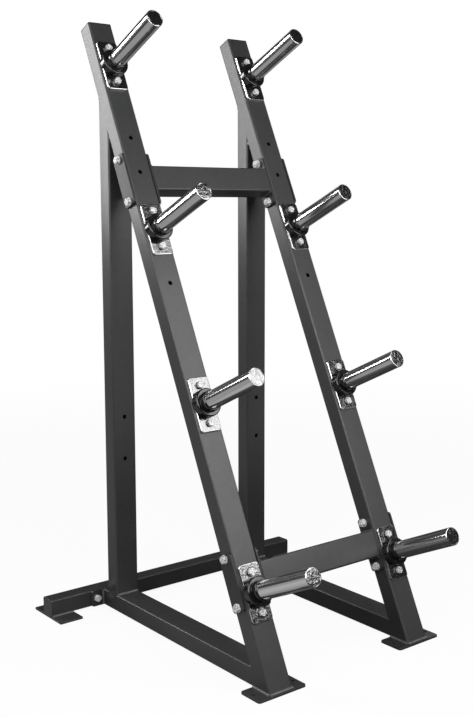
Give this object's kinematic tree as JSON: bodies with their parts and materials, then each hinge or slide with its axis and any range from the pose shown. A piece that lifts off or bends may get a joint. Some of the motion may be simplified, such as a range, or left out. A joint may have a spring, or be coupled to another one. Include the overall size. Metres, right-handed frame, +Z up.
{
  "type": "plate tree",
  "caption": "Free-standing rack for weight plates: leaning side frames of rectangular tube joined by cross members, with chromed posts on bolted plates and rubber collars.",
  "frame": {"origin": "on the floor, in the middle of the rack's footprint", "axes": "+X to the right seen from the front, +Y to the rear, +Z up; the posts point to the front, -Y, and up"},
  "size_m": [0.937, 1.0294, 1.7453],
  "materials": {
    "frame_paint": "satin powder coat, charcoal",
    "chrome": "polished chrome plate",
    "collar_rubber": "moulded, satin black",
    "plug_plastic": "moulded, fine grain",
    "zinc": "bright zinc plate"
  },
  "bodies": {
    "root": {"leaning_upright_left": "frame_paint", "top_plug_left": "plug_plastic", "post_plate_left_1": "chrome", "post_left_1": "chrome", "collar_left_1": "collar_rubber", "post_plate_left_2": "chrome", "post_left_2": "chrome", "collar_left_2": "collar_rubber", "post_plate_left_3": "chrome", "post_left_3": "chrome", "collar_left_3": "collar_rubber", "post_plate_left_4": "chrome", "post_left_4": "chrome", "collar_left_4": "collar_rubber", "backing_plate_upper_left": "frame_paint", "member_flange_upper_left": "frame_paint", "member_bolt_upper_left_low": "zinc", "member_bolt_upper_left_high": "zinc", "backing_plate_lower_left": "frame_paint", "member_flange_lower_left": "frame_paint", "member_bolt_lower_left_low": "zinc", "member_bolt_lower_left_high": "zinc", "front_foot_plate_left": "frame_paint", "rear_flange_left": "frame_paint", "rear_upright_left": "frame_paint", "base_rail_left": "frame_paint", "crossbar_end_plate_left": "frame_paint", "rear_foot_plate_left": "frame_paint", "leaning_upright_right": "frame_paint", "top_plug_right": "plug_plastic", "post_plate_right_1": "chrome", "post_right_1": "chrome", "collar_right_1": "collar_rubber", "post_plate_right_2": "chrome", "post_right_2": "chrome", "collar_right_2": "collar_rubber", "post_plate_right_3": "chrome", "post_right_3": "chrome", "collar_right_3": "collar_rubber", "post_plate_right_4": "chrome", "post_right_4": "chrome", "collar_right_4": "collar_rubber", "backing_plate_upper_right": "frame_paint", "member_flange_upper_right": "frame_paint", "member_bolt_upper_right_low": "zinc", "member_bolt_upper_right_high": "zinc", "backing_plate_lower_right": "frame_paint", "member_flange_lower_right": "frame_paint", "member_bolt_lower_right_low": "zinc", "member_bolt_lower_right_high": "zinc", "front_foot_plate_right": "frame_paint", "rear_flange_right": "frame_paint", "rear_upright_right": "frame_paint", "base_rail_right": "frame_paint", "crossbar_end_plate_right": "frame_paint", "rear_foot_plate_right": "frame_paint", "cross_member_upper": "frame_paint", "cross_member_lower": "frame_paint", "rear_crossbar": "frame_paint"}
  },
  "joints": []
}
